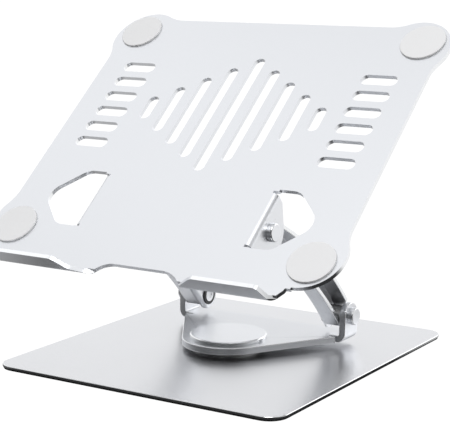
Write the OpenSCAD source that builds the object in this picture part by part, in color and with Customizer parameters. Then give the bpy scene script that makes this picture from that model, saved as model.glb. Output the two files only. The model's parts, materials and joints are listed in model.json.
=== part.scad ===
// Swivelling laptop stand: base plate, turning bracket with ears, two arched
// channel arms and a bent sheet tray with four round pads.
// Millimetres, +Z up, -Y is the user's side. The origin is on the swivel axis,
// on the surface that the stand rests on.

/* [Base] */
// base plate width, left to right
base_w = 230; // [220:1:270]
// base plate depth, front to back
base_d = 250; // [240:1:290]
// base plate thickness
base_t = 2.2; // [2:0.1:2.6]
// corner radius of the base plate
base_r = 14; // [8:1:40]
// thickness of the rubber mat under the plate
mat_t = 1.0; // [1:0.1:1.4]

/* [Swivel] */
// radius of the cover disc on the swivel
cap_r = 28.2; // [24:0.1:31]
// thickness of the cover disc
cap_t = 2.9; // [2.4:0.1:3.2]
// radius of the bracket's round front end
bracket_r = 34; // [32:0.5:36]
// gap between base plate and bracket, filled by the rings
bracket_gap = 3.2; // [2.8:0.1:3.8]

/* [Arms] */
// distance from lower pivot to upper pivot
arm_len = 139.5; // [132:0.5:148]
// slope of the line through both pivots at rest
arm_angle = 35.4; // [30:0.1:44]
// sheet thickness of the arms
arm_t = 3; // [2.5:0.1:3.4]

/* [Tray] */
// slope of the tray at rest
tray_angle = 39.4; // [32:0.1:44]
// height of the front lips above the tray's top face
lip_h = 10.8; // [8:0.1:12]
// pad radius
pad_r = 16.6; // [12:0.1:18]
// pad thickness
pad_t = 1.4; // [1:0.1:2.4]

/* [Hidden] */
$fn = 96;

// heights of the stack on the swivel axis
base_top = mat_t + base_t;
brk_z = base_top + bracket_gap;
brk_t = 5;
brk_top = brk_z + brk_t;
step_z = brk_z + 2;
slide = 0.02;
stud_r = 10;
thread_r = 5;

// lower pivot, in the plane through the swivel axis
piv_y = 53.3;
piv_z = 25.2;
ear_r = 9.8;
ear_out = 72.5;
ear_in = ear_out - brk_t;
bend_in = 1.5;

// sheet of the tray, and the upper pivot's distance below its top face
tray_t = 3;
tray_drop = 13.3;

// arm channel, across the stand
plate_x = 52;
wall_x = 67.2;
arc_r = 286.5;
half_w = 10.5;
bend_arm = 4;
end_gap = 2;
end_r = 10.8;
top_end_r = tray_drop - tray_t - 0.4;
spare_turn = 2.6;
cut = 30;
wall_from = plate_x + arm_t + 0.05;
bend_off = half_w - bend_arm - 0.2;
slant_low = -7;
slant_rise = 1.06;

// pivot hardware
shank_r = 4;
fit = 0.05;
head_r = 6.3;
head_t = 4.2;
sleeve_r = 6.5;
rub_r = 6.3;
rub_t = 1.2;
soft_r = 7.6;
soft_x = plate_x - 1;
nut_r = 5.2;
nut_x = plate_x - 1.3;
socket_r = 2.6;
socket_t = 0.5;
bolt_x = nut_x + 0.6;

// arc through both pivots: its centre and the angles of its ends
up_y = piv_y - arm_len * cos(arm_angle);
up_z = piv_z + arm_len * sin(arm_angle);
half_turn = asin(arm_len / 2 / arc_r);
arc_lo = 90 - arm_angle - half_turn;
arc_hi = 90 - arm_angle + half_turn;
arc_y = piv_y - arc_r * cos(arc_lo);
arc_z = piv_z - arc_r * sin(arc_lo);

// tray frame: u to the right, v up the slope, n out of the top face
pin_v = -70.3;
pin_n = -tray_drop;
tray_y = up_y - pin_v * cos(tray_angle) + pin_n * sin(tray_angle);
tray_z = up_z - pin_v * sin(tray_angle) - pin_n * cos(tray_angle);
tear_out = 71.3;
tear_in = tear_out - tray_t;
side_u = 135.5;
top_v = 115.3;
front_v = -122.8;
lobe_u = 114.5;
lobe_v = 94.5;
lobe_r = 27;
pad_u = 120;
pad_v = 100.7;
blend_r = 30;
lip_v = -133.8;
lip_bend = 4.5;
lip_from = lip_v + lip_bend;
notch_right = 18;
notch_left = -20;
right_arc = 20.8;
left_arc = 17.2;
fall_from = -66;
fall_w = 16;
fall_end = 1.8;
fall_steps = 8;

// ears bent down from the tray, and the cut-outs beside them
ear_bend = 1;
ear_half = 22.6;
ear_far = 17;
ear_slope = 40;
bend_u = tear_in - ear_bend;
relief = 2;
mid_round = 12;
outer_round = 12.4;
hole_in = 71.4;
hole_mid = 87;
hole_out = 107.3;
hole_top = -44.3;
hole_low = -95.3;
hole_slant = 20.3;
diag = sqrt(0.5);

// how far a rounding circle runs past a line that it would only touch
over = 0.05;

// ---------------------------------------------------------------- helpers

// stands an outline drawn in (Y, Z) up and gives it thickness along +X
module side_on(x0, x1) {
  translate([x0, 0, 0])
    rotate([90, 0, 90])
      linear_extrude(x1 - x0)
        children();
}

// the shape and its mirror image across the middle plane
module both() {
  children();
  mirror([1, 0, 0]) children();
}

// rectangle with round corners, centred
module round_rect(w, d, r) {
  square([w - 2 * r, d], center = true);
  square([w, d - 2 * r], center = true);
  for (x = [-1, 1], y = [-1, 1])
    translate([x * (w / 2 - r), y * (d / 2 - r)]) circle(r);
}

// stadium from one end centre to the other
module slot_u(x0, x1, w) {
  translate([x0, -w / 2]) square([x1 - x0, w]);
  translate([x0, 0]) circle(w / 2);
  translate([x1, 0]) circle(w / 2);
}

module slot_v(y0, y1, w) {
  translate([-w / 2, y0]) square([w, y1 - y0]);
  translate([0, y0]) circle(w / 2);
  translate([0, y1]) circle(w / 2);
}

// round bar or ring along X
module bar_x(x0, x1, r) {
  translate([x0, 0, 0]) rotate([0, 90, 0]) cylinder(h = x1 - x0, r = r);
}

module ring_x(x0, x1, r, bore) {
  difference() {
    bar_x(x0, x1, r);
    bar_x(x0 - 1, x1 + 1, bore);
  }
}

// puts a right-hand pivot piece on the lower or upper pivot, both sides
module at_lower() {
  both() translate([0, piv_y, piv_z]) children();
}

module at_upper() {
  both() translate([0, up_y, up_z]) children();
}

// from the tray's own frame to the stand's frame
module on_tray() {
  translate([0, tray_y, tray_z]) rotate([tray_angle, 0, 0]) children();
}

// bolt with a large flat head outside the ear, chamfered rim, along +X
module pivot_bolt(x_in, x_ear) {
  translate([x_in, 0, 0])
    rotate([0, 90, 0])
      rotate_extrude()
        polygon([[0, 0], [shank_r, 0], [shank_r, x_ear - x_in],
          [head_r, x_ear - x_in], [head_r, x_ear - x_in + head_t - 0.6],
          [head_r - 0.6, x_ear - x_in + head_t], [0, x_ear - x_in + head_t]]);
}

// round nut with a hex socket in its inner face
module pivot_nut(x0, x1) {
  difference() {
    translate([x0, 0, 0])
      rotate([0, 90, 0])
        rotate_extrude()
          polygon([[0, 0], [nut_r - 0.2, 0], [nut_r, 0.2],
            [nut_r, x1 - x0], [0, x1 - x0]]);
    translate([x0 - 1, 0, 0])
      rotate([0, 90, 0])
        cylinder(h = 1 + socket_t, r = socket_r, $fn = 6);
    bar_x(bolt_x, x1 + 1, shank_r);
  }
}

// ---------------------------------------------------------------- base

module base_plate() {
  color("silver")
    difference() {
      translate([0, 0, mat_t])
        linear_extrude(base_t) round_rect(base_w, base_d, base_r);
      translate([0, 0, -1]) cylinder(h = 10, r = 8.05);
    }
}

module base_mat() {
  color("black")
    difference() {
      linear_extrude(mat_t) round_rect(base_w - 1.2, base_d - 1.2, base_r - 0.6);
      translate([0, 0, -1]) cylinder(h = 10, r = 12.5);
    }
}

module swivel_stud() {
  color("gray")
    rotate_extrude()
      polygon([[0, 0.3], [12, 0.3], [12, mat_t], [8, mat_t], [8, base_top],
        [stud_r, base_top], [stud_r, step_z], [thread_r, step_z],
        [thread_r, brk_top - 0.3], [0, brk_top - 0.3]]);
}

module washer_z(z0, z1, r, bore) {
  translate([0, 0, z0])
    difference() {
      cylinder(h = z1 - z0, r = r);
      translate([0, 0, -1]) cylinder(h = z1 - z0 + 2, r = bore);
    }
}

module swivel_spacer() {
  color("gray") washer_z(base_top, base_top + 1.6, 26, stud_r + fit);
}

module swivel_glide_ring() {
  color("black")
    washer_z(base_top + 1.6, brk_z - slide, 26, stud_r + fit);
}

module swivel_upper_ring() {
  color("black") washer_z(step_z + slide, step_z + 0.6, 15, thread_r + fit);
}

module swivel_retainer() {
  color("gray") washer_z(step_z + 0.6, step_z + 1.2, 15, thread_r + fit);
}

module swivel_nut() {
  color("gray")
    translate([0, 0, step_z + 1.2])
      difference() {
        cylinder(h = 1.6, r = 8.4, $fn = 6);
        translate([0, 0, -1]) cylinder(h = 4, r = thread_r + fit);
      }
}

// ---------------------------------------------------------------- swivel bracket

edge_x = 66;
edge_y = 40.8;
edge_len = sqrt(edge_x * edge_x + edge_y * edge_y);
edge_dir = atan2(edge_y, edge_x);
tan_dir = edge_dir - acos(bracket_r / edge_len);
rear_y = piv_y + ear_r;
front_ear_y = piv_y - ear_r;

module bracket_outline() {
  difference() {
    union() {
      circle(bracket_r);
      polygon([
        [bracket_r * cos(tan_dir), bracket_r * sin(tan_dir)],
        [edge_x, edge_y], [edge_x, rear_y], [-edge_x, rear_y],
        [-edge_x, edge_y],
        [-bracket_r * cos(tan_dir), bracket_r * sin(tan_dir)]]);
    }
    for (s = [-1, 1])
      translate([s * (edge_x - 1.5), front_ear_y - 1.2])
        square([7, 2.4], center = true);
    for (s = [-1, 1])
      translate([s * (edge_x - 5), front_ear_y - 1.2]) circle(1.2);
  }
}

module bracket_ear() {
  side_on(ear_in, ear_out)
    difference() {
      union() {
        translate([front_ear_y, brk_top + bend_in])
          square([2 * ear_r, piv_z - brk_top - bend_in]);
        translate([piv_y, piv_z]) circle(ear_r);
      }
      translate([piv_y, piv_z]) circle(shank_r);
    }
  translate([ear_in - bend_in, front_ear_y, brk_top + bend_in])
    rotate([-90, 0, 0])
      linear_extrude(2 * ear_r)
        difference() {
          intersection() {
            circle(brk_t + bend_in);
            square(20);
          }
          circle(bend_in);
        }
}

module swivel_bracket() {
  color("silver")
    difference() {
      union() {
        translate([0, 0, brk_z]) linear_extrude(brk_t) bracket_outline();
        both() bracket_ear();
      }
      translate([0, 0, brk_z - 1]) cylinder(h = 10, r = stud_r + fit);
      translate([0, 0, step_z]) cylinder(h = 10, r = 16);
    }
}

module swivel_cap() {
  color("silver")
    difference() {
      translate([0, 0, brk_top])
        rotate_extrude()
          polygon([[0, 0], [cap_r, 0], [cap_r, cap_t - 0.9],
            [cap_r - 0.9, cap_t], [0, cap_t]]);
      translate([0, 0, brk_top - 1]) cylinder(h = 1.6, r = 12);
    }
}

// ---------------------------------------------------------------- pivots

module lower_pivot_bolts() {
  color("silver") at_lower() pivot_bolt(bolt_x, ear_out);
}

module lower_pivot_spacers() {
  color("gray")
    at_lower() ring_x(plate_x + arm_t + rub_t, ear_in, sleeve_r, shank_r);
}

module lower_friction_washers() {
  color("black")
    at_lower()
      ring_x(plate_x + arm_t + slide, plate_x + arm_t + rub_t, rub_r, shank_r);
}

module lower_backing_washers() {
  color("black") at_lower() ring_x(soft_x, plate_x - slide, soft_r, nut_r);
}

module lower_pivot_nuts() {
  color("silver") at_lower() pivot_nut(nut_x, plate_x - slide);
}

module upper_pivot_bolts() {
  color("silver") at_upper() pivot_bolt(bolt_x, tear_out);
}

module upper_pivot_spacers() {
  color("gray")
    at_upper() ring_x(plate_x + arm_t + rub_t, tear_in, sleeve_r, shank_r);
}

module upper_friction_washers() {
  color("black")
    at_upper()
      ring_x(plate_x + arm_t + slide, plate_x + arm_t + rub_t, rub_r, shank_r);
}

module upper_backing_washers() {
  color("black") at_upper() ring_x(soft_x, plate_x - slide, soft_r, nut_r);
}

module upper_pivot_nuts() {
  color("silver") at_upper() pivot_nut(nut_x, plate_x - slide);
}

// ---------------------------------------------------------------- arms

// cross-section of the channel, (distance from the arc's centre, X)
module channel_section() {
  r0 = arc_r - half_w;
  r1 = arc_r + half_w;
  b = bend_arm;
  c = bend_arm - arm_t;
  translate([r0 + b, plate_x]) square([r1 - r0 - 2 * b, arm_t]);
  translate([r0, plate_x + b]) square([arm_t, wall_x - plate_x - b]);
  translate([r1 - arm_t, plate_x + b]) square([arm_t, wall_x - plate_x - b]);
  for (side = [0, 1])
    translate([side == 0 ? r0 + b : r1 - b, plate_x + b])
      difference() {
        intersection() {
          circle(b);
          translate([side == 0 ? -2 * b : 0, -2 * b]) square(2 * b);
        }
        circle(c);
      }
}

// puts a cut in the frame of a pivot: Y outwards from the arc, Z along the arm
module at_end(y, z, turn) {
  translate([0, y, z]) rotate([turn, 0, 0]) children();
}

// everything past a pivot that lies outside a rounded end of radius r
module round_end(z, r) {
  difference() {
    translate([plate_x - 1, -cut, z]) cube([cut, 2 * cut, cut]);
    bar_x(plate_x - 2, plate_x + cut, r);
  }
}

// the slanted cut of the rear wall's lower end, which clears the bracket's ear
module rear_slant() {
  translate([0, cut, 0])
    rotate([90, 0, 0])
      linear_extrude(cut - bend_off)
        polygon([[wall_from, -cut], [wall_x + 10, -cut],
          [wall_x + 10, slant_low + slant_rise * (wall_x + 10 - wall_from)],
          [wall_from, slant_low]]);
}

module arm_right() {
  difference() {
    translate([0, arc_y, arc_z])
      rotate([90, 0, 90])
        rotate([0, 0, arc_lo - spare_turn])
          rotate_extrude(angle = arc_hi - arc_lo + 2 * spare_turn, $fn = 360)
            channel_section();
    at_end(piv_y, piv_z, arc_lo) {
      round_end(-cut, end_r);
      rear_slant();
      // front wall starts level with the pivot
      translate([wall_from, -cut, -cut]) cube([cut, cut + bend_off + 0.1, cut]);
      bar_x(plate_x - 1, plate_x + arm_t + 1, shank_r + fit);
    }
    at_end(up_y, up_z, arc_hi) {
      round_end(0, top_end_r);
      // both walls stop short of the pivot
      translate([wall_from, -cut, -end_gap]) cube([cut, 2 * cut, cut]);
      bar_x(plate_x - 1, plate_x + arm_t + 1, shank_r + fit);
    }
  }
}

module right_arm() {
  color("silver") arm_right();
}

module left_arm() {
  color("silver") mirror([1, 0, 0]) arm_right();
}

// ---------------------------------------------------------------- tray

// the sliver between a corner p and the arc of radius r that rounds it off;
// d1 and d2 point from the corner along its sides
module corner_trim(p, d1, d2, r) {
  half = acos(d1[0] * d2[0] + d1[1] * d2[1]) / 2;
  reach = r / tan(half);
  m = (d1 + d2) / norm(d1 + d2);
  c = p + m * r / sin(half);
  difference() {
    polygon([p + d1 * reach, p - m, p + d2 * reach, c]);
    translate(c) circle(r + over);
  }
}

// round-cornered cut-out beside the right ear
module side_cutout() {
  difference() {
    polygon([[hole_in, hole_top], [hole_mid, hole_top], [hole_out, hole_top - hole_slant],
      [hole_out, hole_low + hole_slant], [hole_mid, hole_low], [hole_in, hole_low]]);
    corner_trim([hole_mid, hole_top], [-1, 0], [diag, -diag], mid_round);
    corner_trim([hole_mid, hole_low], [-1, 0], [diag, diag], mid_round);
    corner_trim([hole_out, hole_top - hole_slant], [-diag, diag], [0, -1], outer_round);
    corner_trim([hole_out, hole_low + hole_slant], [-diag, -diag], [0, 1], outer_round);
  }
}

// room for the right ear's bend and a relief at each of its ends
module ear_notch() {
  translate([bend_u, pin_v - ear_half]) square([hole_in + 0.6 - bend_u, 2 * ear_half]);
  for (y = [pin_v + ear_half, pin_v - ear_half - relief])
    translate([bend_u - 0.1, y]) square([hole_in + 0.7 - bend_u, relief]);
}

module tray_holes() {
  for (i = [0 : 5], s = [-1, 1])
    translate([s * 101.4, 62 - 15.75 * i]) slot_u(-9.3, 9.3, 9.6);
  for (i = [-4 : 4])
    translate([17.55 * i, 21.3]) {
      h = 51.7 - 11.2 * abs(i);
      slot_v(-h, h, 8.8);
    }
  for (s = [0, 1])
    mirror([s, 0]) {
      side_cutout();
      ear_notch();
    }
}

// the sheet's main outline: a rectangle with a round lobe at each corner
module tray_outline() {
  translate([-side_u, -lobe_v]) square([2 * side_u, 2 * lobe_v]);
  translate([-lobe_u, front_v]) square([2 * lobe_u, top_v - front_v]);
  for (x = [-1, 1], y = [-1, 1])
    translate([x * lobe_u, y * lobe_v]) circle(lobe_r);
}

// concave blends from the lobes to the straight sides and the top edge
module lobe_blends() {
  r = blend_r;
  s = side_u - lobe_u;
  d = sqrt((lobe_r + r) * (lobe_r + r) - (s + r) * (s + r));
  k = lobe_r / (lobe_r + r);
  for (x = [-1, 1], y = [-1, 1])
    difference() {
      polygon([[x * lobe_u, y * lobe_v], [x * (side_u - 1), y * (lobe_v - d)],
        [x * side_u, y * (lobe_v - d)],
        [x * (lobe_u + (s + r) * k), y * (lobe_v - d * k)]]);
      translate([x * (side_u + r), y * (lobe_v - d)]) circle(r + over);
    }
  t = top_v - lobe_v;
  e = sqrt((lobe_r + r) * (lobe_r + r) - (t + r) * (t + r));
  for (x = [-1, 1])
    difference() {
      polygon([[x * lobe_u, lobe_v], [x * (lobe_u - e), top_v - 1],
        [x * (lobe_u - e), top_v],
        [x * (lobe_u - e * k), lobe_v + (t + r) * k]]);
      translate([x * (lobe_u - e), top_v + r]) circle(r + over);
    }
}

// flat tongues in front of the sheet, up to where the lips bend up
module tongues() {
  difference() {
    polygon([[notch_right, front_v + 2], [notch_right, lip_from], [107.2, lip_from],
      [110.3, front_v - 2], [112, front_v + 4]]);
    translate([notch_right, front_v - right_arc]) circle(right_arc + over);
  }
  difference() {
    polygon([[notch_left, front_v + 2], [notch_left, lip_from], [-127.4, lip_from],
      [-134, front_v + 8], [-120, front_v + 8]]);
    translate([notch_left, front_v - left_arc]) circle(left_arc + over);
  }
}

// lips seen from above, only in front of the bend line
module lip_plans() {
  polygon([[32.1, lip_from + 1], [38.6, lip_v - 1], [102.3, lip_v - 1],
    [108.1, lip_from + 1]]);
  polygon([[-32.6, lip_from + 1], [-36.6, lip_from - 3.6], [-46, lip_v - 1],
    [-123.3, lip_v - 1], [-128.2, lip_from + 1]]);
}

// lips seen from the front, in (u, n); the left one falls away in a long curve
module lip_faces() {
  polygon([[32.1, -4], [33.1, -tray_t], [37.6, 1.5], [47.5, 9.2], [50.5, lip_h],
    [96.5, lip_h], [98.8, lip_h - 1.2], [103.2, 1.5], [107.2, -tray_t], [108.1, -4]]);
  polygon(concat([[-128.2, -4], [-127.4, -tray_t], [-124, 1.8], [-117, lip_h]],
    [for (i = [0 : fall_steps]) [fall_from + fall_w * i / fall_steps,
      fall_end + (lip_h - fall_end) * (1 + cos(180 * i / fall_steps)) / 2]],
    [[-41, 0.8], [-36.6, -1.2], [-33.5, -tray_t], [-32.6, -4]]));
}

// cross-section of a lip in (v, n): bend and upright
module lip_section() {
  q = lip_bend - tray_t;
  translate([lip_v, q]) square([tray_t, lip_h - q]);
  translate([lip_from, q])
    difference() {
      intersection() {
        circle(lip_bend);
        translate([-2 * lip_bend, -2 * lip_bend]) square(2 * lip_bend);
      }
      circle(q);
    }
}

module lips() {
  intersection() {
    side_on(-side_u, side_u) lip_section();
    translate([0, 0, -10]) linear_extrude(30) lip_plans();
    translate([0, lip_from + 10, 0]) rotate([90, 0, 0]) linear_extrude(30) lip_faces();
  }
}

// outline of a bent-down ear in (v, n)
module ear_outline() {
  far = ear_far - over;
  translate([pin_v, pin_n]) circle(ear_far);
  polygon([[pin_v - ear_half, -2], [pin_v - ear_half, pin_n + 4],
    [pin_v - far * cos(ear_slope), pin_n - far * sin(ear_slope)],
    [pin_v + far * cos(ear_slope), pin_n - far * sin(ear_slope)],
    [pin_v + ear_half, pin_n + 4], [pin_v + ear_half, -2]]);
}

module tray_ear() {
  r = ear_bend + tray_t;
  side_on(tear_in, tear_out)
    difference() {
      ear_outline();
      translate([pin_v - cut, -r]) square([2 * cut, cut]);
      translate([pin_v, pin_n]) circle(shank_r);
    }
  translate([bend_u, pin_v - ear_half, -r])
    rotate([-90, 0, 0])
      linear_extrude(2 * ear_half)
        difference() {
          intersection() {
            circle(r);
            translate([0, -2 * r]) square(2 * r);
          }
          circle(ear_bend);
        }
}

module tray_plate() {
  color("silver")
    on_tray() {
      translate([0, 0, -tray_t])
        linear_extrude(tray_t)
          difference() {
            union() {
              tray_outline();
              lobe_blends();
              tongues();
            }
            tray_holes();
          }
      both() tray_ear();
      lips();
    }
}

module pad_at(x, y) {
  color("gainsboro")
    on_tray()
      translate([x * pad_u, y * pad_v, 0])
        rotate_extrude()
          polygon([[0, 0], [pad_r, 0], [pad_r, pad_t - 0.4],
            [pad_r - 0.4, pad_t], [0, pad_t]]);
}

module pad_rear_left() {
  pad_at(-1, 1);
}

module pad_rear_right() {
  pad_at(1, 1);
}

module pad_front_left() {
  pad_at(-1, -1);
}

module pad_front_right() {
  pad_at(1, -1);
}

// ---------------------------------------------------------------- assembly

base_plate();
base_mat();
swivel_stud();
swivel_spacer();
swivel_glide_ring();
swivel_upper_ring();
swivel_retainer();
swivel_nut();
swivel_bracket();
swivel_cap();
lower_pivot_bolts();
lower_pivot_spacers();
lower_friction_washers();
lower_backing_washers();
lower_pivot_nuts();
left_arm();
right_arm();
tray_plate();
pad_rear_left();
pad_rear_right();
pad_front_left();
pad_front_right();
upper_pivot_bolts();
upper_pivot_spacers();
upper_friction_washers();
upper_backing_washers();
upper_pivot_nuts();
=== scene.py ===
import json
import math

import bpy
from bpy.props import FloatProperty, FloatVectorProperty, PointerProperty
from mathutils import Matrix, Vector

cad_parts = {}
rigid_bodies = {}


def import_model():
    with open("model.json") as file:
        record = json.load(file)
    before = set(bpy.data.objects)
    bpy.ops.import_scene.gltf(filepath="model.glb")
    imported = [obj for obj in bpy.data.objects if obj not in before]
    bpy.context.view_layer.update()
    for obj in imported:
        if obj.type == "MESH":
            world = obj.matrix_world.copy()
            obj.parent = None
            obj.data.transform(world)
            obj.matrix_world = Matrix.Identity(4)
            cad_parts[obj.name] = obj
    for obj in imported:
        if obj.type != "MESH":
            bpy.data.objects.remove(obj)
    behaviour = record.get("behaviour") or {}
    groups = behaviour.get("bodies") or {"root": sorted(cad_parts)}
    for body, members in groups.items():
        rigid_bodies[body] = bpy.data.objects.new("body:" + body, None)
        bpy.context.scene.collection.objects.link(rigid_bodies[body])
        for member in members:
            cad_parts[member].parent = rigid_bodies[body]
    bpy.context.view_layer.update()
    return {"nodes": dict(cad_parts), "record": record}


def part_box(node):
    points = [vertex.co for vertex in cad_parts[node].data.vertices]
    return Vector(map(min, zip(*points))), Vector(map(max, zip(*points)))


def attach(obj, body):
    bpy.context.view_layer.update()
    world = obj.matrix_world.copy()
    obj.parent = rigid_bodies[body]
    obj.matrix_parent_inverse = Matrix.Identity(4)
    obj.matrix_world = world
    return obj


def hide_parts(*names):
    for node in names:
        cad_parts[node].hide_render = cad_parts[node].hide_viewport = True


bl_info = {
    "name": "Laptop stand",
    "version": (1, 0, 0),
    "blender": (4, 5, 0),
    "location": "3D View > Sidebar > Stand",
    "description": "Finishes the pieces of a swivelling laptop stand around its frame",
    "category": "Add Mesh",
}

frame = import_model()
JOINTS = {joint["name"]: joint for joint in frame["record"]["behaviour"]["joints"]}
LOWER_PIVOT = Vector(JOINTS["arm_tilt"]["pos_m"])
UPPER_PIVOT = Vector(JOINTS["tray_tilt"]["pos_m"])
SWIVEL_AXIS = Vector((0, 0, 0))
ARM_LINE = (UPPER_PIVOT - LOWER_PIVOT).normalized()


# ------------------------------------------------------------------ settings


def length(name, text, value):
    """A size in metres for the panel."""
    return FloatProperty(name=name, description=text, default=value, min=0,
                         unit="LENGTH", precision=5)


def tint(name, text, value):
    """A colour for the panel."""
    return FloatVectorProperty(name=name, description=text, default=value, min=0, max=1,
                               size=3, subtype="COLOR")


def share(name, text, value):
    """A value from 0 to 1 for the panel."""
    return FloatProperty(name=name, description=text, default=value, min=0, max=1,
                         subtype="FACTOR")


class StandSizes(bpy.types.PropertyGroup):
    """Sizes of the rounds along the cut edges."""

    sheet_edge: length("Sheet edges", "Width of the round along the arms' cut edges; on the "
                       "tray, the most that its small faces leave room for", 0.00042)
    bracket_edge: length("Bracket edges", "Width of the chamfer around the turning bracket", 0.0006)
    base_edge: length("Base edge", "Width of the bright chamfer around the base plate", 0.0006)
    small_edge: length("Hardware edges", "Width of the rounds on bolts, nuts and washers", 0.00025)
    pad_edge: length("Pad edge", "Width of the round on each pad's rim", 0.0003)


class StandFinishes(bpy.types.PropertyGroup):
    """Colours and roughness of the finishes."""

    satin: tint("Satin aluminium", "Colour of the blasted and anodised sheet",
                (0.80, 0.812, 0.835))
    brushed: tint("Brushed aluminium", "Colour of the base plate", (0.74, 0.745, 0.76))
    bright: tint("Cut edges", "Colour of the bright cut edges", (0.88, 0.89, 0.90))
    silicone: tint("Silicone", "Colour of the pads", (0.93, 0.93, 0.935))
    rubber: tint("Rubber", "Colour of the mat and the black washers", (0.018, 0.018, 0.02))
    satin_rough: share("Satin roughness", "How matt the satin sheet is", 0.36)
    brushed_rough: share("Brushed roughness", "How matt the base plate is", 0.30)
    bright_rough: share("Cut edge roughness", "How matt the cut edges are", 0.16)


def sizes():
    return bpy.context.scene.stand_sizes


def finishes():
    return bpy.context.scene.stand_finishes


# ------------------------------------------------------------------ shader maths


WHITE = (1, 1, 1, 1)


class Value:
    """A node's output that takes part in sums."""

    def __init__(self, maker, socket):
        self.maker, self.socket = maker, socket

    def _sum(self, kind, *terms):
        return self.maker.node("ShaderNodeMath", {"operation": kind}, *terms)["Value"]

    def __add__(self, other):
        return self._sum("ADD", self, other)

    def __sub__(self, other):
        return self._sum("SUBTRACT", self, other)

    def __rsub__(self, other):
        return self._sum("SUBTRACT", other, self)

    def __mul__(self, other):
        return self._sum("MULTIPLY", self, other)

    def __pow__(self, other):
        return self._sum("POWER", self, other)

    __radd__, __rmul__ = __add__, __mul__

    def sine(self):
        return self._sum("SINE", self)

    def held(self):
        """The value kept between 0 and 1."""
        return self.maker.node("ShaderNodeClamp", {}, self)["Result"]


class Outputs:
    """A node's outputs by name."""

    def __init__(self, maker, node):
        self.maker, self.made = maker, node

    def __getitem__(self, name):
        return Value(self.maker, self.made.outputs[name])

    def colour(self):
        """The colour result of a mix node, which has results of other kinds under the same name."""
        return Value(self.maker, self.made.outputs[2])


class Finish:
    """Builds one material."""

    def __init__(self, name, tree=None):
        if tree is None:
            self.material = bpy.data.materials.new(name)
            self.material.use_nodes = True
            tree = self.material.node_tree
        self.tree = tree
        tree.nodes.clear()

    def node(self, kind, settings=None, *values, **named):
        """Adds a node, sets it up, and gives its sockets values or links."""
        node = self.tree.nodes.new(kind)
        for key, setting in (settings or {}).items():
            setattr(node, key, setting)
        given = list(enumerate(values)) + [(k.replace("_", " "), v) for k, v in named.items()]
        for key, value in given:
            if isinstance(value, Value):
                self.tree.links.new(value.socket, node.inputs[key])
            elif value is not None:
                node.inputs[key].default_value = value
        return Outputs(self, node)

    def place(self):
        return self.node("ShaderNodeTexCoord")["Object"]

    def parts(self, vector):
        """A vector's three coordinates, by name."""
        return self.node("ShaderNodeSeparateXYZ", {}, vector)

    def stretched(self, scale):
        """Object coordinates, scaled by axis."""
        return self.node("ShaderNodeMapping", {}, Vector=self.place(), Scale=scale)["Vector"]

    def noise(self, vector, scale, detail=2.0, rough=0.5):
        return self.node("ShaderNodeTexNoise", {}, Vector=vector, Scale=scale, Detail=detail,
                         Roughness=rough)["Fac"]

    def mixed(self, factor, first, second):
        unused = [None] * 5
        mix = self.node("ShaderNodeMix", {"data_type": "RGBA"}, factor, *unused, first, second)
        return mix.colour()

    def bump(self, height, strength, distance):
        return self.node("ShaderNodeBump", {}, Strength=strength, Distance=distance,
                         Height=height)["Normal"]

    def emission(self, strength):
        return self.node("ShaderNodeEmission", {}, WHITE, strength)["Emission"]

    def background(self, colour, strength):
        return self.node("ShaderNodeBackground", {}, colour, strength)["Background"]

    def added(self, first, second):
        return self.node("ShaderNodeAddShader", {}, first, second)["Shader"]

    def by_camera(self, elsewhere, seen):
        """One shader for light that bounces about, and another for what the camera sees."""
        straight = self.node("ShaderNodeLightPath")["Is Camera Ray"]
        return self.node("ShaderNodeMixShader", {}, straight, elsewhere, seen)["Shader"]

    def done(self, **named):
        """The surface shader, from the principled sockets given."""
        shader = self.node("ShaderNodeBsdfPrincipled", {}, **named)["BSDF"]
        self.node("ShaderNodeOutputMaterial", {}, shader)
        return self.material


def shade(colour, factor):
    """The colour made lighter or darker, with an alpha of 1."""
    return tuple(min(1.0, c * factor) for c in colour) + (1.0,)


# ------------------------------------------------------------------ finishes


def satin_aluminium():
    """Fine blasted and anodised sheet: an even grain, faint clouds and soft handling marks."""
    f = Finish("satin_aluminium")
    colour = finishes().satin
    grain = f.noise(f.place(), 5200, 3, 0.6)
    cloud = f.noise(f.place(), 24, 3, 0.55)
    marks = f.noise(f.stretched((60, 12, 60)), 6, 4, 0.7)
    tone = (0.72 * cloud + 0.28 * grain).held()
    base = f.mixed(tone, shade(colour, 0.965), shade(colour, 1.03))
    rough = finishes().satin_rough - 0.06 + 0.08 * cloud + 0.05 * grain + 0.03 * marks
    return f.done(Base_Color=base, Metallic=1.0, Roughness=rough,
                  Normal=f.bump(grain, 0.10, 0.00005))


def bright_cut():
    """Edges that a cutter left bright: close parallel lines along the thickness."""
    f = Finish("bright_cut")
    colour = finishes().bright
    lines = f.noise(f.stretched((900, 900, 9000)), 1, 2, 0.5)
    spots = f.noise(f.place(), 160, 3, 0.6)
    base = f.mixed(spots, shade(colour, 0.94), shade(colour, 1.04))
    rough = finishes().bright_rough - 0.05 + 0.07 * lines + 0.06 * spots
    return f.done(Base_Color=base, Metallic=1.0, Roughness=rough,
                  Normal=f.bump(lines, 0.08, 0.00004))


def brushed_aluminium():
    """Sheet brushed from left to right, with long fine scratches."""
    f = Finish("brushed_aluminium")
    colour = finishes().brushed
    fine = f.noise(f.stretched((22, 5200, 300)), 1, 3, 0.6)
    broad = f.noise(f.stretched((5, 420, 60)), 1, 3, 0.6)
    cloud = f.noise(f.place(), 14, 3, 0.5)
    streaks = (0.65 * fine + 0.35 * broad).held()
    base = f.mixed((0.7 * streaks + 0.3 * cloud).held(), shade(colour, 0.95), shade(colour, 1.05))
    rough = finishes().brushed_rough - 0.07 + 0.10 * streaks + 0.05 * cloud
    return f.done(Base_Color=base, Metallic=1.0, Roughness=rough,
                  Normal=f.bump(streaks, 0.12, 0.00005))


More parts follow.
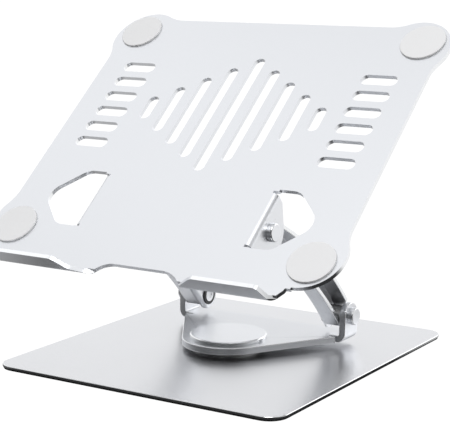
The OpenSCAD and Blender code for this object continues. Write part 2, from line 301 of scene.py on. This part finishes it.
def turned_metal(name, centre, along_x):
    """Metal faced on a lathe: fine rings around the piece's own axis."""
    f = Finish(name)
    colour = finishes().satin
    parts = f.parts(f.place())
    first = (parts["Z"] if along_x else parts["X"]) - (centre.z if along_x else centre.x)
    second = parts["Y"] - centre.y
    reach = (first * first + second * second) ** 0.5
    rings = 0.5 + 0.5 * (reach * 24000).sine()
    uneven = f.node("ShaderNodeTexNoise", {"noise_dimensions": "1D"}, W=reach * 2600,
                    Scale=1.0, Detail=3.0)["Fac"]
    cloud = f.noise(f.place(), 60, 3, 0.55)
    base = f.mixed((0.6 * uneven + 0.4 * cloud).held(), shade(colour, 0.95), shade(colour, 1.05))
    rough = finishes().satin_rough - 0.11 + 0.10 * uneven + 0.05 * cloud
    height = 0.5 * rings + 0.5 * uneven
    return f.done(Base_Color=base, Metallic=1.0, Roughness=rough,
                  Normal=f.bump(height, 0.10, 0.00004))


def matt_silicone():
    """Pale soft silicone with a fine moulded grain and a little dust."""
    f = Finish("matt_silicone")
    colour = finishes().silicone
    grain = f.noise(f.place(), 7000, 2, 0.5)
    dust = f.noise(f.place(), 420, 4, 0.7)
    base = f.mixed((0.5 * grain + 0.5 * dust).held(), shade(colour, 0.955), shade(colour, 1.02))
    rough = 0.52 + 0.12 * dust + 0.05 * grain
    return f.done(Base_Color=base, Roughness=rough, Specular_IOR_Level=0.4,
                  Normal=f.bump(grain, 0.18, 0.00006))


def black_rubber():
    """Soft black sheet rubber with a pebbled grain and paler rubbed spots."""
    f = Finish("black_rubber")
    colour = finishes().rubber
    pebble = f.node("ShaderNodeTexVoronoi", {}, Vector=f.place(), Scale=1400.0)["Distance"]
    rubbed = f.noise(f.place(), 55, 4, 0.65)
    base = f.mixed(rubbed, shade(colour, 0.8), shade(colour, 1.9))
    rough = 0.58 + 0.22 * rubbed
    return f.done(Base_Color=base, Roughness=rough, Specular_IOR_Level=0.35,
                  Normal=f.bump(pebble, 0.35, 0.0001))


def black_nylon():
    """Smooth black nylon of the washers and glide rings, with faint moulding flow."""
    f = Finish("black_nylon")
    colour = finishes().rubber
    flow = f.noise(f.stretched((90, 90, 500)), 1, 3, 0.6)
    speck = f.noise(f.place(), 3000, 2, 0.5)
    base = f.mixed(flow, shade(colour, 0.85), shade(colour, 1.5))
    rough = 0.34 + 0.12 * flow + 0.06 * speck
    return f.done(Base_Color=base, Roughness=rough, Normal=f.bump(speck, 0.12, 0.00004))


def plated_steel():
    """Zinc-plated steel of the parts inside the stack: blotchy, slightly warm."""
    f = Finish("plated_steel")
    blotch = f.noise(f.place(), 180, 4, 0.65)
    grain = f.noise(f.place(), 4200, 2, 0.5)
    base = f.mixed(blotch, (0.46, 0.46, 0.47, 1), (0.62, 0.61, 0.58, 1))
    rough = 0.28 + 0.16 * blotch + 0.05 * grain
    return f.done(Base_Color=base, Metallic=1.0, Roughness=rough,
                  Normal=f.bump(grain, 0.1, 0.00004))


MADE = {}


def finish_named(name):
    """Each finish is made once and shared."""
    makers = {
        "satin": satin_aluminium,
        "bright": bright_cut,
        "brushed": brushed_aluminium,
        "silicone": matt_silicone,
        "rubber": black_rubber,
        "nylon": black_nylon,
        "steel": plated_steel,
        "cover": lambda: turned_metal("turned_cover", SWIVEL_AXIS, False),
        "lower_turned": lambda: turned_metal("turned_lower_hardware", LOWER_PIVOT, True),
        "upper_turned": lambda: turned_metal("turned_upper_hardware", UPPER_PIVOT, True),
    }
    if name not in MADE:
        MADE[name] = makers[name]()
    return MADE[name]


# ------------------------------------------------------------------ shaping


def only(obj):
    """Selects this object and nothing else."""
    bpy.ops.object.select_all(action="DESELECT")
    obj.select_set(True)
    bpy.context.view_layer.objects.active = obj


def body_of_node(node):
    for body, nodes in frame["record"]["behaviour"]["bodies"].items():
        if node in nodes:
            return body
    raise RuntimeError("no body holds " + node)


WELD = 0.000002
FLAT = math.radians(0.15)


def joined_copy(node, name):
    """A copy of a CAD node with its triangles welded and its flats joined."""
    only(frame["nodes"][node])
    bpy.ops.object.duplicate()
    piece = bpy.context.view_layer.objects.active
    piece.name = piece.data.name = name
    bpy.ops.object.parent_clear(type="CLEAR_KEEP_TRANSFORM")
    bpy.ops.mesh.customdata_custom_splitnormals_clear()
    bpy.ops.object.mode_set(mode="EDIT")
    bpy.ops.mesh.select_all(action="SELECT")
    bpy.ops.mesh.remove_doubles(threshold=WELD)
    bpy.ops.mesh.dissolve_limited(angle_limit=FLAT)
    bpy.ops.object.mode_set(mode="OBJECT")
    piece.data.materials.clear()
    piece.data.polygons.foreach_set("material_index", [0] * len(piece.data.polygons))
    return piece


def round_edges(piece, width, segments=2, angle=32, held_back=False):
    """Breaks the sharp edges; the new faces take the second finish.

    Held back, no round runs over a small face.
    """
    only(piece)
    bpy.ops.object.shade_smooth()
    rounds = piece.modifiers.new("Rounds", "BEVEL")
    rounds.width = width
    rounds.segments = segments
    rounds.limit_method = "ANGLE"
    rounds.angle_limit = math.radians(angle)
    rounds.use_clamp_overlap = held_back
    rounds.material = 1
    bpy.ops.object.modifier_apply(modifier="Rounds")


def even_shading(piece):
    """Keeps broad flats flat where they run into a bend or a round."""
    only(piece)
    normals = piece.modifiers.new("Normals", "WEIGHTED_NORMAL")
    normals.mode = "FACE_AREA"
    normals.weight = 100
    normals.keep_sharp = True
    bpy.ops.object.modifier_apply(modifier="Normals")


def paint(piece, *names):
    """Gives the piece its finishes, in order."""
    for name in names:
        piece.data.materials.append(finish_named(name))


def mark_faces(piece, test):
    """Gives the bright cut finish to the faces that pass the test."""
    mesh = piece.data
    for polygon in mesh.polygons:
        if test(polygon.center, polygon.normal, [mesh.vertices[i].co for i in polygon.vertices]):
            polygon.material_index = 1


def stands_for(piece, node):
    """The piece moves with the node's body and takes the node's place."""
    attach(piece, body_of_node(node))
    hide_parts(node)


def machined(node, name, width, first, second, test=None, segments=2, angle=32, held_back=False):
    """A finished copy of a node: rounded edges, the second finish on cut faces, even shading."""
    piece = joined_copy(node, name)
    paint(piece, first, second)
    if test:
        mark_faces(piece, test)
    round_edges(piece, width, segments, angle, held_back)
    even_shading(piece)
    stands_for(piece, node)


def refinish(node, name):
    """A CAD node that keeps its shape gets its finish."""
    materials = frame["nodes"][node].data.materials
    for i in range(len(materials)):
        materials[i] = finish_named(name)


def middle_of(node):
    low, high = (Vector(corner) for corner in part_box(node))
    return (low + high) / 2


# the tray's own frame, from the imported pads: up the slope, and out of the face
REAR_PAD = middle_of("pad_rear_left")
FRONT_PAD = middle_of("pad_front_left")
UP_SLOPE = (REAR_PAD - FRONT_PAD).normalized()
OUT_OF_TRAY = Vector((1, 0, 0)).cross(UP_SLOPE)
PAD_THICK = 0.0014
TRAY_FACE = REAR_PAD.dot(OUT_OF_TRAY) - PAD_THICK / 2
TRAY_MID = (REAR_PAD + FRONT_PAD).dot(UP_SLOPE) / 2
SHEET = 0.003
NEARLY = 0.0001

# in the tray's frame: where the lips bend up, the height above which a face belongs to a
# lip's top edge, and how far out a lip's cut end has to be to be left bright
LIP_BEND = -0.1295
LIP_TOP = 0.0098
BRIGHT_END = 0.09

# how far out the rims of the arms' channels lie
ARM_RIM = 0.066


def tray_cut(middle, normal, corners):
    """Whether a face of the tray is one of its cut sides."""
    heights = [corner.dot(OUT_OF_TRAY) - TRAY_FACE for corner in corners]
    up = middle.dot(UP_SLOPE) - TRAY_MID
    across = abs(normal.x)
    facing = normal.dot(OUT_OF_TRAY)
    if max(heights) < NEARLY and min(heights) > -SHEET - NEARLY and up > LIP_BEND:
        return abs(facing) < 0.3
    if max(heights) < -SHEET:
        # an ear: its rim, but not its broad faces
        return across < 0.5 and abs(facing) < 0.999
    end_of_lip = abs(middle.x) > BRIGHT_END and across > 0.5
    return end_of_lip or (min(heights) > LIP_TOP and facing > 0.7)


def arm_cut(middle, normal, corners):
    """Whether a face of an arm is one of its cut sides: outer rims, and the channel's ends."""
    if abs(normal.x) > 0.9:
        return abs(middle.x) > ARM_RIM
    return abs(normal.dot(ARM_LINE)) > 0.6


# ------------------------------------------------------------------ operators


class STAND_OT_base(bpy.types.Operator):
    """Finish the base plate and its rubber mat"""

    bl_idname = "stand.base"
    bl_label = "Base"

    def execute(self, context):
        machined("base_plate", "base_sheet", sizes().base_edge, "brushed", "bright",
                 lambda middle, normal, corners: abs(normal.z) < 0.3)
        machined("base_mat", "base_rubber", sizes().small_edge, "rubber", "rubber")
        return {"FINISHED"}


class STAND_OT_swivel(bpy.types.Operator):
    """Finish the turning bracket, its cover and the stack of rings under it"""

    bl_idname = "stand.swivel"
    bl_label = "Swivel"

    def execute(self, context):
        machined("swivel_bracket", "turning_bracket", sizes().bracket_edge, "satin", "bright")
        machined("swivel_cap", "swivel_cover", sizes().small_edge, "cover", "bright",
                 lambda middle, normal, corners: abs(normal.z) < 0.9)
        for node in ("swivel_glide_ring", "swivel_upper_ring"):
            refinish(node, "nylon")
        for node in ("swivel_stud", "swivel_spacer", "swivel_retainer", "swivel_nut"):
            refinish(node, "steel")
        return {"FINISHED"}


class STAND_OT_arms(bpy.types.Operator):
    """Finish the two arched channel arms"""

    bl_idname = "stand.arms"
    bl_label = "Arms"

    def execute(self, context):
        for side in ("left", "right"):
            machined(side + "_arm", side + "_channel_arm", sizes().sheet_edge, "satin", "bright",
                     arm_cut)
        return {"FINISHED"}


class STAND_OT_pivots(bpy.types.Operator):
    """Finish the bolts, nuts, sleeves and washers of both pivots"""

    bl_idname = "stand.pivots"
    bl_label = "Pivots"

    def execute(self, context):
        for level in ("lower", "upper"):
            edge = sizes().small_edge
            turned = level + "_turned"
            machined(level + "_pivot_bolts", level + "_bolts", edge, turned, "bright")
            machined(level + "_pivot_nuts", level + "_round_nuts", edge, turned, "bright")
            machined(level + "_pivot_spacers", level + "_sleeves", edge, "steel", "steel")
            machined(level + "_backing_washers", level + "_black_washers", edge, "nylon", "nylon")
            refinish(level + "_friction_washers", "nylon")
        return {"FINISHED"}


class STAND_OT_tray(bpy.types.Operator):
    """Finish the bent sheet tray"""

    bl_idname = "stand.tray"
    bl_label = "Tray"

    def execute(self, context):
        machined("tray_plate", "tray_sheet", sizes().sheet_edge, "satin", "bright", tray_cut,
                 held_back=True)
        return {"FINISHED"}


class STAND_OT_pads(bpy.types.Operator):
    """Finish the four round pads"""

    bl_idname = "stand.pads"
    bl_label = "Pads"

    def execute(self, context):
        for end in ("rear", "front"):
            for side in ("left", "right"):
                machined(f"pad_{end}_{side}", f"{end}_{side}_pad", sizes().pad_edge,
                         "silicone", "silicone", segments=3, angle=25)
        return {"FINISHED"}


CAMERA_PLACE = Vector((0.55722, -0.87787, 0.29190))
CAMERA_LOOK = Vector((-0.52904, 0.82899, -0.18139))
CAMERA_LENS = 117.84
FLOOR_RADIUS = 14
# the floor lies this far under the mat, so that the two never share a plane
FLOOR_DROP = -0.0001


def soft_box(name, place, aim, width, height, power):
    """A rectangular area lamp that faces a point."""
    lamp = bpy.data.lights.new(name, "AREA")
    lamp.shape = "RECTANGLE"
    lamp.size, lamp.size_y, lamp.energy = width, height, power
    holder = bpy.data.objects.new(name, lamp)
    bpy.context.collection.objects.link(holder)
    holder.location = place
    holder.rotation_euler = (Vector(aim) - Vector(place)).to_track_quat("-Z", "Y").to_euler()


def floor_finish():
    """A pale table, white to the eye. In reflections it glows as painted light, bright behind, to
    the right and far to the left, and close by it stays dark as painted shade."""
    f = Finish("pale_floor")
    parts = f.parts(f.place())
    mottle = f.noise(f.place(), 3, 3, 0.5)
    # painted shade: for all light but the camera's, the floor is near black, standing in for the
    # shade under the stand
    base = f.mixed(mottle, (0.03, 0.03, 0.031, 1), (0.036, 0.036, 0.037, 1))
    matt = f.node("ShaderNodeBsdfDiffuse", {}, base)["BSDF"]
    # painted light: the floor glows in reflections behind, to the right and far to the left,
    # standing in for a bright room
    behind = (6.0 * parts["Y"] + 3.0 * parts["X"] - 0.6).held()
    left = (-0.8 - 8.0 * parts["X"]).held()
    reflected = f.added(matt, f.emission(0.95 * (behind + 0.6 * left)))
    f.node("ShaderNodeOutputMaterial", {}, f.by_camera(reflected, f.added(matt, f.emission(1.02))))
    return f.material


def lay_floor():
    bpy.ops.object.select_all(action="DESELECT")
    bpy.ops.mesh.primitive_circle_add(vertices=96, radius=FLOOR_RADIUS, fill_type="NGON",
                                      location=(0, 0, FLOOR_DROP))
    floor = bpy.context.object
    floor.name = floor.data.name = "floor"
    floor.data.materials.append(floor_finish())


def light_room(scene):
    """A white room: dark low in front, dimmer high behind, and above a little darker to the
    right. The camera sees plain white."""
    world = bpy.data.worlds.new("studio")
    scene.world = world
    world.use_nodes = True
    w = Finish("", world.node_tree)
    heading = w.parts(w.node("ShaderNodeTexCoord")["Generated"])
    above = (2.0 * heading["Z"] - 0.4).held()
    across = 0.95 - 0.42 * heading["X"] * above
    room = 0.05 + 0.95 * (0.25 + 1.1 * heading["Y"] + 1.0 * heading["Z"]).held()
    back = 0.18 * (2.0 * heading["Y"] - 0.6).held()
    dim = 1 - 0.6 * (3.0 * heading["Y"] - 0.5).held() * (4.0 * heading["Z"] - 1.4).held()
    shell = w.background((0.985, 0.99, 1.0, 1), (across * room + back) * dim)
    w.node("ShaderNodeOutputWorld", {}, w.by_camera(shell, w.background(WHITE, 1.05)))


def set_camera(scene):
    camera = bpy.data.cameras.new("camera")
    camera.sensor_fit = "HORIZONTAL"
    camera.sensor_width = 36
    camera.lens = CAMERA_LENS
    camera.clip_start, camera.clip_end = 0.05, 60
    holder = bpy.data.objects.new("camera", camera)
    bpy.context.collection.objects.link(holder)
    holder.location = CAMERA_PLACE
    holder.rotation_euler = CAMERA_LOOK.to_track_quat("-Z", "Y").to_euler()
    scene.camera = holder
    scene.view_settings.view_transform = "Standard"


class STAND_OT_stage(bpy.types.Operator):
    """Lay the floor, hang the lamps and set the camera"""

    bl_idname = "stand.stage"
    bl_label = "Stage"

    def execute(self, context):
        lay_floor()
        light_room(context.scene)
        soft_box("behind", (0.9, 1.6, 0.9), (0, 0, 0.1), 1.4, 0.8, 5)
        soft_box("fill", (0.45, -0.9, 1.35), (0, 0, 0.1), 0.9, 0.9, 12.5)
        set_camera(context.scene)
        return {"FINISHED"}


STEPS = (STAND_OT_base, STAND_OT_swivel, STAND_OT_arms, STAND_OT_pivots, STAND_OT_tray,
         STAND_OT_pads, STAND_OT_stage)


class STAND_PT_panel(bpy.types.Panel):
    """Lists the steps and the sizes and colours that they use"""

    bl_label = "Laptop stand"
    bl_idname = "STAND_PT_panel"
    bl_space_type = "VIEW_3D"
    bl_region_type = "UI"
    bl_category = "Stand"

    def draw(self, context):
        for step in STEPS:
            self.layout.operator(step.bl_idname)
        for group in (context.scene.stand_sizes, context.scene.stand_finishes):
            column = self.layout.column()
            for name in group.bl_rna.properties.keys():
                if name not in ("rna_type", "name"):
                    column.prop(group, name)


CLASSES = (StandSizes, StandFinishes) + STEPS + (STAND_PT_panel,)


def register():
    for cls in CLASSES:
        bpy.utils.register_class(cls)
    bpy.types.Scene.stand_sizes = PointerProperty(type=StandSizes)
    bpy.types.Scene.stand_finishes = PointerProperty(type=StandFinishes)


def unregister():
    del bpy.types.Scene.stand_finishes
    del bpy.types.Scene.stand_sizes
    for cls in reversed(CLASSES):
        bpy.utils.unregister_class(cls)


def main():
    register()
    for step in STEPS:
        section, name = step.bl_idname.split(".")
        getattr(getattr(bpy.ops, section), name)()


if __name__ == "__main__":
    main()
